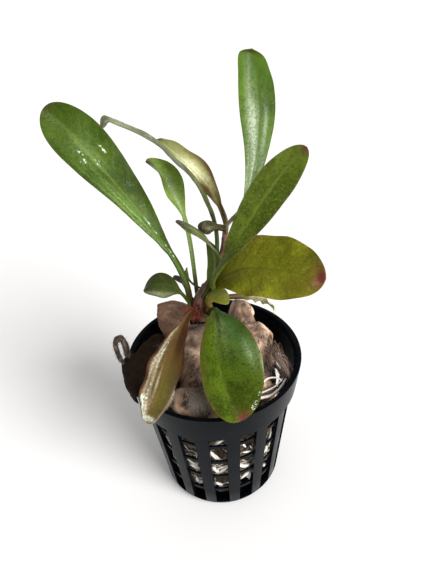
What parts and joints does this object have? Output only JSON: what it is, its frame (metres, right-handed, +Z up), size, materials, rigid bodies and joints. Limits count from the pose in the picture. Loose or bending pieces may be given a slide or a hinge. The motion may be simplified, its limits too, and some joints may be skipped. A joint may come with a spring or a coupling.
{
  "type": "potted aquarium plant",
  "caption": "Young rosette aquarium plant with spoon-shaped green, olive and yellowing leaves, rooted in stone wool in a black tapered net pot.",
  "frame": {"origin": "centre of the underside of the pot's base, where the pot stands on a surface", "axes": "+Z up, along the pot's axis; -Y towards the picture's viewer, the front; +X to the viewer's right"},
  "size_m": [0.0644, 0.0524, 0.1264],
  "materials": {
    "pot": "satin",
    "wool": "matte",
    "wool_dark": "matte",
    "stem": "satin",
    "root": "satin",
    "leaf_green": "satin",
    "leaf_grey_green": "satin",
    "leaf_olive": "satin",
    "leaf_yellow": "satin",
    "leaf_brown": "satin",
    "bud": "satin"
  },
  "bodies": {
    "root": {"bud_left": "bud", "bud_stub": "bud", "leaf_back_ragged": "leaf_yellow", "leaf_crown_small": "leaf_yellow", "leaf_crown_yellow": "leaf_olive", "leaf_curled": "leaf_grey_green", "leaf_front": "leaf_green", "leaf_front_brown": "leaf_brown", "leaf_grey_small": "leaf_grey_green", "leaf_left_arched": "leaf_grey_green", "leaf_left_large": "leaf_green", "leaf_left_middle": "leaf_green", "leaf_left_small": "leaf_green", "leaf_old_yellow": "leaf_yellow", "leaf_right": "leaf_green", "leaf_round": "leaf_olive", "leaf_tall": "leaf_green", "leaf_upright": "leaf_green", "net_pot": "pot", "root_front_middle": "root", "root_front_thick": "root", "root_front_upper": "root", "shoot_tip": "bud", "stem": "stem", "stone_wool": "wool", "wool_tuft": "wool_dark"}
  },
  "joints": []
}
